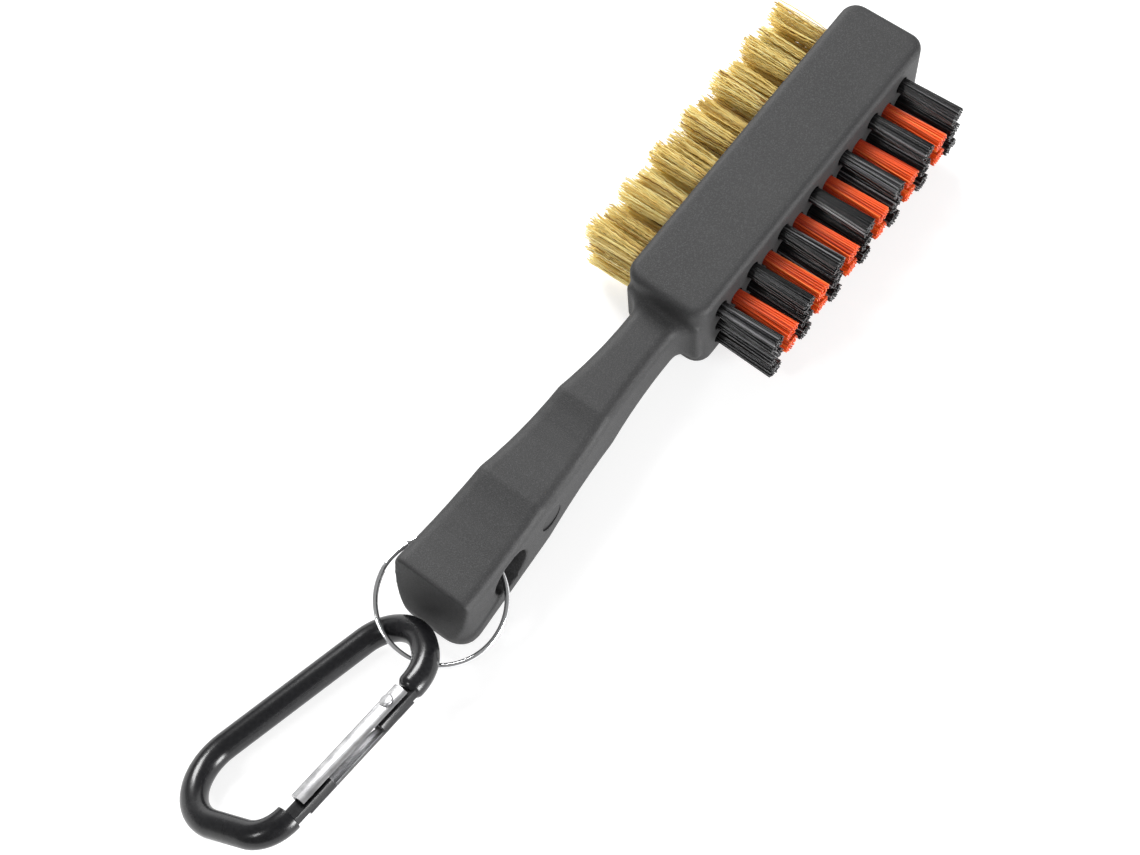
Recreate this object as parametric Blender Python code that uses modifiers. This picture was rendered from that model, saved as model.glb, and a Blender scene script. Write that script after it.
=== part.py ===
"""Double-sided club groove brush with a split ring and a small carabiner.

Frame: the origin is the middle of the flat underside of the brush head. +X runs along the
brush from its butt to the far end of its head, +Y is the brass side and +Z is up.
"""

import math

import bmesh
import bpy
from mathutils import Euler, Matrix, Vector

MM = 0.001

# Brush body
HEAD_LENGTH = 67.0 * MM
HEAD_WIDTH = 16.0 * MM
HEAD_HEIGHT = 18.5 * MM
HEAD_CORNER_RADIUS = 3.0 * MM
HEAD_EDGE_RADIUS = 1.3 * MM
HANDLE_LENGTH = 64.0 * MM
HANDLE_CORNER_RADIUS = 1.7 * MM
NECK_FLARE = 3.0 * MM
NECK_FLARE_RISE = 0.5
NECK_OVERLAP = 4.0 * MM
BUTT_CORNER_RADIUS = 4.0 * MM
BUTT_ROUND_ABOVE = 0.25
BUTT_ROUND_BELOW = 0.45
BUTT_CUT_TOP = 60.6 * MM
BUTT_CUT_SLOPE = math.radians(15.0)
# In millimetres: distance from the head, half width, rise above the middle, drop below it
HANDLE_STATIONS = (
    (0.0, 4.45, 4.0, 5.4),
    (12.0, 4.55, 4.5, 5.5),
    (21.3, 5.35, 5.85, 6.1),
    (31.0, 6.05, 4.95, 5.7),
    (40.2, 6.75, 6.7, 7.2),
    (50.3, 7.2, 6.2, 7.9),
    (64.0, 7.75, 8.0, 9.0),
)
HANDLE_CREASES = (21.3 * MM, 40.2 * MM)
RING_HOLE_RADIUS = 4.2 * MM
RING_HOLE_DISTANCE = 50.2 * MM
MOULD_MARK_RADIUS = 2.5 * MM
MOULD_MARK_DEPTH = 0.35 * MM
MOULD_MARK_DISTANCE = 39.0 * MM

# Tufts
COLUMN_PITCH = 8.93 * MM
ROW_PITCH = 4.8 * MM
FIRST_COLUMN = 5.8 * MM
LONG_COLUMNS = 7
TUFT_HOLE_RADIUS = 1.8 * MM
TUFT_HOLE_DEPTH = 6.0 * MM
TUFT_ROOT_RADIUS = 1.25 * MM
NYLON_TIP = (2.0 * MM, 1.85 * MM)
BRASS_TIP = (2.0 * MM, 2.65 * MM)
NYLON_LENGTH = 11.5 * MM
BRASS_LENGTH = 11.1 * MM
TUFT_SIDES = 10

# Split ring: two turns of round wire
RING_RADIUS = 10.6 * MM
RING_WIRE_RADIUS = 0.45 * MM
RING_TURN_PITCH = 0.95 * MM
RING_STEP_ANGLE = math.radians(28.0)
RING_TURN_POINTS = 30
RING_FIRST_ANGLE = math.radians(100.0)
RING_END_GAP = math.radians(4.0)
RING_PIVOT = Vector((0.64, -0.34, -0.46)) * MM
RING_YAW = math.radians(1.0)
RING_DROOP = math.radians(7.0)
RING_ROLL = math.radians(10.0)

# Carabiner, in its own plane: U along the spine, V from the spine to the gate, N across
ROD_RADIUS = 2.3 * MM
LOOP_CORNERS = ((-7.4, -0.6), (-2.9, 14.1), (31.9, 23.5), (45.2, -0.1))
LOOP_RADII = (7.4, 7.2, 5.9, 9.0)
GATE_START = 5.8 * MM
GATE_LENGTH = 23.0 * MM
GATE_OFFSET = 0.1 * MM
GATE_RADIUS = 2.1 * MM
GATE_SLOT_ANGLE = 37.0  # the slot's half angle, in degrees
GATE_SHEET = 0.5 * MM
GATE_BACK_CUT = 4.6 * MM
GATE_BACK_LEVEL = -1.3 * MM
TENON_HALF_THICKNESS = 0.65 * MM
TENON_INNER_EDGE = -1.0 * MM
TENON_OUTER_EDGE = 1.9 * MM
HINGE_TENON_LENGTH = 6.5 * MM
NOSE_TENON_LENGTH = 5.5 * MM
TENON_TAIL = 1.5 * MM
HINGE_SHOULDER_GAP = 0.6 * MM
NOSE_SHOULDER_GAP = 2.4 * MM
RIVET_INSET = 3.0 * MM
RIVET_OFFSET = 0.2 * MM
RIVET_RADIUS = 0.5 * MM
RIVET_HOLE_RADIUS = 0.75 * MM
RIVET_HEAD_RADIUS = 1.15 * MM
RIVET_HEAD_HEIGHT = 0.4 * MM
SPRING_RADIUS = 0.3 * MM
SPRING_LENGTH = 10.0 * MM
TILT = math.radians(31.4)
SPINE_HEADING = math.radians(164.6)
SPINE_DROP = math.radians(2.1)
SPINE_START = Vector((-103.25, 5.5, 3.65)) * MM

FIT_GAP = 0.3 * MM
MIDDLE_Z = HEAD_HEIGHT / 2
NECK_X = -HEAD_LENGTH / 2


def clear_scene():
    for item in list(bpy.data.objects):
        bpy.data.objects.remove(item, do_unlink=True)


def collection(name):
    made = bpy.data.collections.new(name)
    bpy.context.scene.collection.children.link(made)
    return made


def material(name, colour, roughness, metallic=0.0):
    made = bpy.data.materials.new(name)
    made.use_nodes = True
    shader = made.node_tree.nodes["Principled BSDF"]
    shader.inputs["Base Color"].default_value = (*colour, 1.0)
    shader.inputs["Roughness"].default_value = roughness
    shader.inputs["Metallic"].default_value = metallic
    return made


def add_object(name, data, group, finish=None, matrix=None):
    made = bpy.data.objects.new(name, data)
    group.objects.link(made)
    if finish is not None and not data.materials:
        data.materials.append(finish)
    if matrix is not None:
        made.matrix_world = matrix
    return made


def add_cutter(name, data, group, matrix=None):
    made = add_object(name, data, group, matrix=matrix)
    made.hide_render = True
    made.display_type = "WIRE"
    return made


def add_boolean(target, cutter, operation):
    modifier = target.modifiers.new(cutter.name, "BOOLEAN")
    modifier.operation = operation
    modifier.solver = "EXACT"
    modifier.object = cutter


def mesh_from(name, bm):
    mesh = bpy.data.meshes.new(name)
    bmesh.ops.recalc_face_normals(bm, faces=bm.faces)
    bm.to_mesh(mesh)
    bm.free()
    return mesh


def smooth(mesh, degrees=35.0):
    mesh.shade_smooth()
    mesh.set_sharp_from_angle(angle=math.radians(degrees))


def baked_mesh(name, item):
    """The evaluated mesh of an object, with its curve caps or doubled points welded."""
    bpy.context.view_layer.update()
    evaluated = item.evaluated_get(bpy.context.evaluated_depsgraph_get())
    mesh = bpy.data.meshes.new_from_object(evaluated)
    mesh.name = name
    bm = bmesh.new()
    bm.from_mesh(mesh)
    bmesh.ops.remove_doubles(bm, verts=bm.verts, dist=0.001 * MM)
    bmesh.ops.recalc_face_normals(bm, faces=bm.faces)
    bm.to_mesh(mesh)
    bm.free()
    return mesh


def tube_curve(name, points, radius, resolution=2):
    curve = bpy.data.curves.new(name, "CURVE")
    curve.dimensions = "3D"
    curve.bevel_depth = radius
    curve.bevel_resolution = resolution
    curve.use_fill_caps = True
    spline = curve.splines.new("POLY")
    spline.points.add(len(points) - 1)
    for target, point in zip(spline.points, points):
        target.co = (*point, 1.0)
    return curve


def cylinder_mesh(name, radius, depth, sides):
    bm = bmesh.new()
    bmesh.ops.create_cone(
        bm, cap_ends=True, segments=sides, radius1=radius, radius2=radius, depth=depth
    )
    return mesh_from(name, bm)


def box_mesh(name, low, high):
    bm = bmesh.new()
    bmesh.ops.create_cube(bm, size=1.0)
    size = Vector(high) - Vector(low)
    middle = (Vector(high) + Vector(low)) / 2
    place = Matrix.Translation(middle) @ Matrix.Diagonal((*size, 1.0))
    bmesh.ops.transform(bm, matrix=place, verts=bm.verts)
    return mesh_from(name, bm)


# ---------------------------------------------------------------- brush body


def head_mesh():
    """A block with rounded upright corners and softer edges round its top and bottom."""
    bm = bmesh.new()
    bmesh.ops.create_cube(bm, size=1.0)
    size = Matrix.Diagonal((HEAD_LENGTH, HEAD_WIDTH, HEAD_HEIGHT, 1.0))
    bmesh.ops.transform(bm, matrix=Matrix.Translation((0, 0, MIDDLE_Z)) @ size, verts=bm.verts)
    for upright, radius, segments in ((True, HEAD_CORNER_RADIUS, 6), (False, HEAD_EDGE_RADIUS, 4)):
        edges = [e for e in bm.edges if (abs(e.verts[0].co.z - e.verts[1].co.z) > MM) == upright]
        bmesh.ops.bevel(
            bm, geom=edges, offset=radius, segments=segments, profile=0.5, affect="EDGES"
        )
    return mesh_from("brush_body", bm)


def between(distance, column):
    """A smooth value between the handle's stations, with a crease left at each ridge."""
    stations = HANDLE_STATIONS
    distance_mm = min(max(distance / MM, stations[0][0]), stations[-1][0])
    for low, middle, high in zip(stations[0::2], stations[1::2], stations[2::2]):
        if distance_mm <= high[0]:
            break
    span = high[0] - low[0]
    t = (distance_mm - low[0]) / span
    knee = (middle[0] - low[0]) / span
    straight = low[column] + (high[column] - low[column]) * knee
    bow = (middle[column] - straight) / (knee * (1.0 - knee))
    return (low[column] + (high[column] - low[column]) * t + bow * t * (1.0 - t)) * MM


def butt_inset(distance):
    """How far the rounded butt draws in from the handle's full width."""
    over = distance - (HANDLE_LENGTH - BUTT_CORNER_RADIUS)
    if over <= 0.0:
        return 0.0
    return BUTT_CORNER_RADIUS - math.sqrt(max(BUTT_CORNER_RADIUS**2 - over**2, 0.0))


def handle_section(distance):
    """One rounded rectangle across the handle, as points in the order round the section."""
    flare_left = max(NECK_FLARE - max(distance, 0.0), 0.0)
    flare = NECK_FLARE - math.sqrt(NECK_FLARE**2 - flare_left**2)
    inset = butt_inset(distance)
    half_width = between(distance, 1) + flare - inset
    top = between(distance, 2) + NECK_FLARE_RISE * flare - BUTT_ROUND_ABOVE * inset
    bottom = -between(distance, 3) - NECK_FLARE_RISE * flare + BUTT_ROUND_BELOW * inset
    corner = HANDLE_CORNER_RADIUS
    points = []
    for index, (side, level) in enumerate(((1, top), (-1, top), (-1, bottom), (1, bottom))):
        centre_y = side * (half_width - corner)
        centre_z = level - corner if level > 0 else level + corner
        for step in range(4):
            angle = math.radians(index * 90.0 + step * 30.0)
            y = centre_y + corner * math.cos(angle)
            z = centre_z + corner * math.sin(angle)
            points.append((NECK_X - distance, y, MIDDLE_Z + z))
    return points


def handle_distances():
    flare = [NECK_FLARE * (1.0 - math.cos(math.radians(a))) for a in (0, 30, 50, 70, 90)]
    first, second = HANDLE_CREASES
    grip = [first * k / 7 for k in range(2, 7)]
    grip += [first + (second - first) * k / 6 for k in range(7)]
    last = HANDLE_LENGTH - BUTT_CORNER_RADIUS
    grip += [second + (last - second) * k / 5 for k in range(1, 6)]
    butt = [last + BUTT_CORNER_RADIUS * math.sin(math.radians(a)) for a in (20, 38, 54, 68, 80)]
    return [-NECK_OVERLAP] + flare + grip + butt


def handle_mesh():
    """A loft through the handle's sections, cut by a sloping flat at the butt."""
    bm = bmesh.new()
    rings = [[bm.verts.new(p) for p in handle_section(d)] for d in handle_distances()]
    for near, far in zip(rings[:-1], rings[1:]):
        for k, vert in enumerate(near):
            after = (k + 1) % len(near)
            bm.faces.new((vert, near[after], far[after], far[k]))
    bm.faces.new(rings[0])
    bm.faces.new(reversed(rings[-1]))
    normal = Vector((-math.cos(BUTT_CUT_SLOPE), 0.0, math.sin(BUTT_CUT_SLOPE)))
    point = (NECK_X - BUTT_CUT_TOP, 0.0, MIDDLE_Z + between(BUTT_CUT_TOP, 2))
    geometry = bm.verts[:] + bm.edges[:] + bm.faces[:]
    cut = bmesh.ops.bisect_plane(
        bm, geom=geometry, plane_co=point, plane_no=normal, clear_outer=True
    )
    edges = [item for item in cut["geom_cut"] if isinstance(item, bmesh.types.BMEdge)]
    bmesh.ops.holes_fill(bm, edges=edges)
    return mesh_from("handle", bm)


def tuft_places():
    """The middle of every tuft hole, as column number, X and Z."""
    for column in range(2 * LONG_COLUMNS - 1):
        x = NECK_X + FIRST_COLUMN + column * COLUMN_PITCH / 2
        rows = (1, 0, -1) if column % 2 == 0 else (0.5, -0.5)
        for row in rows:
            yield column, x, MIDDLE_Z + row * ROW_PITCH


def tuft_holes_mesh():
    """All the blind tuft holes of both sides, as one cutter."""
    bm = bmesh.new()
    depth = TUFT_HOLE_DEPTH + 2 * MM
    middle = HEAD_WIDTH / 2 - TUFT_HOLE_DEPTH + depth / 2
    for _, x, z in tuft_places():
        for side in (1, -1):
            place = Matrix.Translation((x, side * middle, z)) @ Matrix.Rotation(math.pi / 2, 4, "X")
            bmesh.ops.create_cone(
                bm,
                cap_ends=True,
                segments=TUFT_SIDES,
                radius1=TUFT_HOLE_RADIUS,
                radius2=TUFT_HOLE_RADIUS,
                depth=depth,
                matrix=place,
            )
    return mesh_from("tuft_holes", bm)


def build_body(parts, cutters, plastic):
    body = add_object("brush_body", head_mesh(), parts, plastic)
    handle = add_cutter("handle_shape", handle_mesh(), cutters)
    add_boolean(body, handle, "UNION")
    add_boolean(body, add_cutter("tuft_holes", tuft_holes_mesh(), cutters), "DIFFERENCE")
    across = Matrix.Rotation(math.pi / 2, 4, "X")
    hole = cylinder_mesh("ring_hole", RING_HOLE_RADIUS, 30 * MM, 32)
    hole_place = Matrix.Translation((NECK_X - RING_HOLE_DISTANCE, 0, MIDDLE_Z)) @ across
    add_boolean(body, add_cutter("ring_hole", hole, cutters, hole_place), "DIFFERENCE")
    mark = cylinder_mesh("mould_mark", MOULD_MARK_RADIUS, 4 * MM, 24)
    face_y = -between(MOULD_MARK_DISTANCE, 1) + MOULD_MARK_DEPTH
    mark_x = NECK_X - MOULD_MARK_DISTANCE
    mark_place = Matrix.Translation((mark_x, face_y - 2 * MM, MIDDLE_Z)) @ across
    add_boolean(body, add_cutter("mould_mark", mark, cutters, mark_place), "DIFFERENCE")
    return body


# ---------------------------------------------------------------- tufts


def tuft_bmesh(length, tip):
    """One tuft along +Y from its hole's bottom, flared to its tip's radii along X and Z."""
    bm = bmesh.new()
    total = TUFT_HOLE_DEPTH - FIT_GAP + length
    bmesh.ops.create_cone(
        bm,
        cap_ends=True,
        segments=TUFT_SIDES,
        radius1=TUFT_ROOT_RADIUS,
        radius2=tip[0],
        depth=total,
    )
    for vert in bm.verts:
        if vert.co.z > 0:
            vert.co.y *= tip[1] / tip[0]
    start = HEAD_WIDTH / 2 - TUFT_HOLE_DEPTH + FIT_GAP
    place = Matrix.Translation((0, start + total / 2, 0)) @ Matrix.Rotation(-math.pi / 2, 4, "X")
    bmesh.ops.transform(bm, matrix=place, verts=bm.verts)
    return bm


def build_nylon(parts, black, orange):
    """A separate tuft for each hole of the nylon side: black threes and orange twos."""
    mesh_black = mesh_from("black_tuft", tuft_bmesh(NYLON_LENGTH, NYLON_TIP))
    mesh_orange = mesh_from("orange_tuft", tuft_bmesh(NYLON_LENGTH, NYLON_TIP))
    smooth(mesh_black)
    smooth(mesh_orange)
    counts = {}
    for column, x, z in tuft_places():
        counts[column] = counts.get(column, 0) + 1
        is_black = column % 2 == 0
        kind = "black_tuft" if is_black else "orange_tuft"
        name = f"{kind}_{column // 2 + 1}_{counts[column]}"
        mesh = mesh_black if is_black else mesh_orange
        place = Matrix.Translation((x, 0, z)) @ Matrix.Rotation(math.pi, 4, "Z")
        add_object(name, mesh, parts, black if is_black else orange, place)


def brass_column_mesh(name, rows, cutters):
    """The tufts of one column, joined where their splayed tips run into each other."""
    pieces = []
    for row in rows:
        bm = tuft_bmesh(BRASS_LENGTH, BRASS_TIP)
        bmesh.ops.translate(bm, vec=(0, 0, row * ROW_PITCH), verts=bm.verts)
        pieces.append(add_cutter(f"{name}_piece", mesh_from(name, bm), cutters))
    for other in pieces[1:]:
        add_boolean(pieces[0], other, "UNION")
    mesh = baked_mesh(name, pieces[0])
    pieces[0].modifiers.clear()
    smooth(mesh)
    return mesh


def build_brass(parts, cutters, brass):
    meshes = (
        brass_column_mesh("brass_three", (1, 0, -1), cutters),
        brass_column_mesh("brass_two", (0.5, -0.5), cutters),
    )
    for column in range(2 * LONG_COLUMNS - 1):
        x = NECK_X + FIRST_COLUMN + column * COLUMN_PITCH / 2
        place = Matrix.Translation((x, 0, MIDDLE_Z))
        add_object(f"brass_column_{column + 1}", meshes[column % 2], parts, brass, place)


# ---------------------------------------------------------------- split ring


def ring_points():
    """Two turns in two planes, with one short step between them and both ends beside it."""
    total = 4 * math.pi - RING_STEP_ANGLE - RING_END_GAP
    count = int(total / (2 * math.pi) * RING_TURN_POINTS)
    points = []
    for k in range(count + 1):
        angle = total * k / count
        rise = (angle - (2 * math.pi - RING_STEP_ANGLE)) / RING_STEP_ANGLE
        rise = min(max(rise, 0.0), 1.0)
        level = (rise * rise * (3.0 - 2.0 * rise) - 0.5) * RING_TURN_PITCH
        turn = angle + RING_FIRST_ANGLE
        points.append((RING_RADIUS * math.cos(turn), RING_RADIUS * math.sin(turn), level))
    return points


def ring_matrix():
    """The ring hangs from the cross hole, drooping and rolled, its middle towards -X."""
    hole = Vector((NECK_X - RING_HOLE_DISTANCE, 0.0, MIDDLE_Z))
    pivot = Matrix.Translation(hole + RING_PIVOT)
    turn = Euler((0, 0, RING_YAW)).to_matrix().to_4x4()
    turn = Euler((0, -RING_DROOP, 0)).to_matrix().to_4x4() @ turn
    turn = Euler((RING_ROLL, 0, 0)).to_matrix().to_4x4() @ turn
    return pivot @ turn @ Matrix.Translation((-RING_RADIUS, 0, 0))


def build_ring(parts, chrome):
    curve = tube_curve("split_ring", ring_points(), RING_WIRE_RADIUS)
    add_object("split_ring", curve, parts, chrome, ring_matrix())


# ---------------------------------------------------------------- carabiner


def carabiner_matrix():
    """Columns are U along the spine, V towards the gate and N across the loop."""
    flat = math.cos(SPINE_DROP)
    ahead = (flat * math.cos(SPINE_HEADING), flat * math.sin(SPINE_HEADING), -math.sin(SPINE_DROP))
    along = Vector(ahead)
    level = Vector((-math.sin(SPINE_HEADING), math.cos(SPINE_HEADING), 0.0))
    up = along.cross(level)
    side = level * math.cos(TILT) + up * math.sin(TILT)
    across = along.cross(side)
    turn = Matrix((along, side, across)).transposed().to_4x4()
    return Matrix.Translation(SPINE_START) @ turn


def loop_geometry():
    """The rounded corners of the loop: each as centre, radius, start angle and turn."""
    corners = [Vector(c) * MM for c in LOOP_CORNERS]
    arcs = []
    for k, corner in enumerate(corners):
        radius = LOOP_RADII[k] * MM
        to_last = (corners[k - 1] - corner).normalized()
        to_next = (corners[(k + 1) % len(corners)] - corner).normalized()
        half = to_last.angle(to_next) / 2
        centre = corner + (to_last + to_next).normalized() * radius / math.sin(half)
        start = corner + to_last * radius / math.tan(half) - centre
        turn = math.pi - 2 * half
        arcs.append((centre, radius, math.atan2(start.y, start.x), turn))
    return corners, arcs


def gate_line():
    """Where the gate starts on the loop's gate side, and its direction."""
    corners, _ = loop_geometry()
    direction = (corners[2] - corners[1]).normalized()
    return corners[1] + direction * GATE_START, direction


def gate_matrix():
    """The gate's own frame: X along the gate, Y outward, Z across, at the gate's start."""
    start, direction = gate_line()
    turn = Matrix.Rotation(math.atan2(direction.y, direction.x), 4, "Z")
    offset = Matrix.Translation((0, GATE_OFFSET, 0))
    return carabiner_matrix() @ Matrix.Translation((start.x, start.y, 0)) @ turn @ offset


def rod_points():
    """The rod's middle line, from the nose shoulder round the loop to the hinge shoulder."""
    _, arcs = loop_geometry()
    start, direction = gate_line()
    nose = start + direction * (GATE_LENGTH + NOSE_SHOULDER_GAP)
    hinge = start - direction * HINGE_SHOULDER_GAP
    points = [nose]
    for k in (2, 3, 0, 1):
        centre, radius, first, turn = arcs[k]
        steps = max(5, round(math.degrees(turn) / 12))
        for step in range(steps + 1):
            angle = first - turn * step / steps
            points.append(centre + Vector((math.cos(angle), math.sin(angle))) * radius)
    points.append(hinge)
    return [(p.x, p.y, 0.0) for p in points]


def tenon_mesh(name, start, end):
    low = (start, TENON_INNER_EDGE, -TENON_HALF_THICKNESS)
    high = (end, TENON_OUTER_EDGE, TENON_HALF_THICKNESS)
    return box_mesh(name, low, high)


def build_carabiner(parts, cutters, paint):
    matrix = gate_matrix()
    curve = tube_curve("rod", rod_points(), ROD_RADIUS, resolution=4)
    guide = add_cutter("rod_guide", curve, cutters)
    mesh = baked_mesh("carabiner_body", guide)
    bpy.data.objects.remove(guide, do_unlink=True)
    smooth(mesh)
    body = add_object("carabiner_body", mesh, parts, paint, carabiner_matrix())
    hinge_root = -HINGE_SHOULDER_GAP - TENON_TAIL
    nose_root = GATE_LENGTH + NOSE_SHOULDER_GAP + TENON_TAIL
    hinge = tenon_mesh("hinge_tenon", hinge_root, HINGE_TENON_LENGTH)
    nose = tenon_mesh("nose_tenon", GATE_LENGTH - NOSE_TENON_LENGTH, nose_root)
    add_boolean(body, add_cutter("hinge_tenon", hinge, cutters, matrix), "UNION")
    add_boolean(body, add_cutter("nose_tenon", nose, cutters, matrix), "UNION")
    hole = cylinder_mesh("tenon_hole", RIVET_HOLE_RADIUS, 9 * MM, 16)
    place = matrix @ Matrix.Translation((RIVET_INSET, RIVET_OFFSET, 0))
    add_boolean(body, add_cutter("tenon_hole", hole, cutters, place), "DIFFERENCE")


def gate_outline():
    """The rolled sheet's section, a tube with a slot along its outer side, as Y and Z."""
    inner = GATE_RADIUS - GATE_SHEET
    half = math.pi - math.radians(GATE_SLOT_ANGLE)
    arc = [math.pi + half * (k / 12 - 1.0) for k in range(25)]
    outer_arc = [(GATE_RADIUS * math.cos(a), GATE_RADIUS * math.sin(a)) for a in arc]
    inner_arc = [(inner * math.cos(a), inner * math.sin(a)) for a in reversed(arc)]
    return outer_arc + inner_arc


def build_gate(parts, cutters, aluminium):
    curve = bpy.data.curves.new("gate_section", "CURVE")
    curve.dimensions = "2D"
    curve.fill_mode = "BOTH"
    curve.extrude = GATE_LENGTH / 2
    spline = curve.splines.new("POLY")
    outline = gate_outline()
    spline.use_cyclic_u = True
    spline.points.add(len(outline) - 1)
    for target, (y, z) in zip(spline.points, outline):
        target.co = (y, z, 0.0, 1.0)
    guide = add_cutter("gate_guide", curve, cutters)
    mesh = baked_mesh("carabiner_gate", guide)
    bpy.data.objects.remove(guide, do_unlink=True)
    turn = Matrix(((0, 0, 1, GATE_LENGTH / 2), (1, 0, 0, 0), (0, 1, 0, 0), (0, 0, 0, 1)))
    mesh.transform(turn)
    smooth(mesh)
    rivet = Matrix.Translation((RIVET_INSET, RIVET_OFFSET, 0))
    mesh.transform(rivet.inverted())
    matrix = gate_matrix()
    gate = add_object("carabiner_gate", mesh, parts, aluminium, matrix @ rivet)
    hole = cylinder_mesh("gate_hole", RIVET_HOLE_RADIUS, 9 * MM, 16)
    add_boolean(gate, add_cutter("gate_hole", hole, cutters, matrix @ rivet), "DIFFERENCE")
    low = (-MM, -2 * GATE_RADIUS, -2 * GATE_RADIUS)
    high = (GATE_BACK_CUT, GATE_BACK_LEVEL, 2 * GATE_RADIUS)
    back = add_cutter("gate_back_cut", box_mesh("gate_back_cut", low, high), cutters, matrix)
    add_boolean(gate, back, "DIFFERENCE")


def build_rivet(parts, steel):
    """A turned pin with a head above the gate, its other end flush with the sheet."""
    shoulder = GATE_RADIUS + FIT_GAP
    top = shoulder + RIVET_HEAD_HEIGHT
    profile = [
        (0.0, top),
        (0.7 * RIVET_HEAD_RADIUS, top),
        (RIVET_HEAD_RADIUS, shoulder + 0.4 * RIVET_HEAD_HEIGHT),
        (RIVET_HEAD_RADIUS, shoulder),
        (RIVET_RADIUS, shoulder),
        (RIVET_RADIUS, -GATE_RADIUS),
        (0.0, -GATE_RADIUS),
    ]
    bm = bmesh.new()
    verts = [bm.verts.new((radius, 0.0, height)) for radius, height in profile]
    for first, second in zip(verts[:-1], verts[1:]):
        bm.edges.new((first, second))
    mesh = bpy.data.meshes.new("gate_rivet")
    bm.to_mesh(mesh)
    bm.free()
    place = gate_matrix() @ Matrix.Translation((RIVET_INSET, RIVET_OFFSET, 0))
    rivet = add_object("gate_rivet", mesh, parts, steel, place)
    screw = rivet.modifiers.new("turn", "SCREW")
    screw.axis = "Z"
    screw.steps = 20
    screw.render_steps = 20
    screw.use_merge_vertices = True
    screw.merge_threshold = 0.00001
    screw.use_smooth_shade = True


def build_spring(parts, steel):
    """A bent wire along the inside of the gate's back, beyond the hinge tenon."""
    start = HINGE_TENON_LENGTH + 2 * FIT_GAP
    deepest = -(GATE_RADIUS - GATE_SHEET - FIT_GAP - SPRING_RADIUS)
    points = []
    for k in range(13):
        t = k / 12
        y = deepest + 1.2 * MM * (1.0 - t) ** 2
        points.append((start + SPRING_LENGTH * t, y, 0.0))
    curve = tube_curve("gate_spring", points, SPRING_RADIUS)
    add_object("gate_spring", curve, parts, steel, gate_matrix())


def main():
    clear_scene()
    parts = collection("club_groove_brush")
    cutters = collection("cutters")
    plastic = material("moulded_plastic", (0.060, 0.061, 0.064), 0.62)
    black = material("black_nylon", (0.022, 0.022, 0.024), 0.45)
    orange = material("orange_nylon", (0.86, 0.13, 0.02), 0.45)
    brass = material("brass_wire", (0.75, 0.52, 0.20), 0.35, 1.0)
    chrome = material("chromed_steel", (0.80, 0.81, 0.82), 0.12, 1.0)
    paint = material("black_anodised_aluminium", (0.012, 0.012, 0.013), 0.25)
    aluminium = material("bare_aluminium", (0.83, 0.83, 0.84), 0.30, 1.0)
    steel = material("rivet_steel", (0.72, 0.72, 0.73), 0.35, 1.0)
    build_body(parts, cutters, plastic)
    build_nylon(parts, black, orange)
    build_brass(parts, cutters, brass)
    build_ring(parts, chrome)
    build_carabiner(parts, cutters, paint)
    build_gate(parts, cutters, aluminium)
    build_rivet(parts, steel)
    build_spring(parts, steel)


main()
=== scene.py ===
"""The looks of the club groove brush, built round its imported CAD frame.

The frame's origin is the middle of the brush head's flat underside. +X runs along the brush
towards the far end of its head, +Y is the brass side and +Z is up.
"""

import math

import bmesh
import bpy
import numpy as np
from mathutils import Euler, Matrix, Vector


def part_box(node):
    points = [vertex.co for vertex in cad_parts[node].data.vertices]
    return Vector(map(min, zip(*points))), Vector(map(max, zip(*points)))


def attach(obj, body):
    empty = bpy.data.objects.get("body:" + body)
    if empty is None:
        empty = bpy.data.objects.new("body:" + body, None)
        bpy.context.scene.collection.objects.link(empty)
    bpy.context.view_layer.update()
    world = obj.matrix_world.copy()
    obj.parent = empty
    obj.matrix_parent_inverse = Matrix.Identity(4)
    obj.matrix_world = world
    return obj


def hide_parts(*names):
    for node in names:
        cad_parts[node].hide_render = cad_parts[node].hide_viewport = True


MM = 0.001
WELD_DISTANCE = 0.001 * MM

# Camera
CAMERA_TARGET = Vector((-0.058, 0.0008, 0.009))
CAMERA_DISTANCE = 0.3156
CAMERA_AZIMUTH = math.radians(-134.9)
CAMERA_ELEVATION = math.radians(66.36)
CAMERA_ROLL = math.radians(-8.31)
CAMERA_LENS = 60.37
SENSOR_WIDTH = 36.0

# Brush body
BODY_VOXEL = 0.34 * MM
BODY_SMOOTHING = 3
RING_HOLE_RADIUS = 4.2 * MM
RING_HOLE_X = -83.7 * MM
RING_HOLE_CUTTER_DEPTH = 30.0 * MM
MOULD_MARK_RADIUS = 2.5 * MM
MOULD_MARK_DEPTH = 0.35 * MM
MOULD_MARK_X = -72.5 * MM
MOULD_MARK_FACE_Y = -6.67 * MM
CUTTER_EXCESS = 2.0 * MM

# Tufts
CAD_HOLE_RADIUS = 1.8 * MM
PLUG_MARGIN = 0.1 * MM
PLUG_EXTRA_DEPTH = 0.5 * MM
HOLE_RADIUS = 1.6 * MM
HOLE_DEPTH = 6.0 * MM
HOLE_SIDES = 24
ROOT_DEPTH = 1.5 * MM
ROW_PITCH = 4.8 * MM
GOLDEN_ANGLE = math.radians(137.508)
NYLON = {
    "count": 64,
    "root_radius": 1.40 * MM,
    "strand_radius": 0.140 * MM,
    "sides": 8,
    "rows": 5,
    "crimp": 0.0,
    "wave": 3.0 * MM,
    "length_spread": 0.30 * MM,
    "tip_spread": 0.03 * MM,
    "bow": 0.03 * MM,
}
BRASS = {
    "count": 78,
    "root_radius": 1.60 * MM,
    "strand_radius": 0.105 * MM,
    "sides": 5,
    "rows": 17,
    "crimp": 0.085 * MM,
    "wave": 2.1 * MM,
    "length_spread": 0.75 * MM,
    "tip_spread": 0.22 * MM,
    "bow": 0.20 * MM,
}

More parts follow.
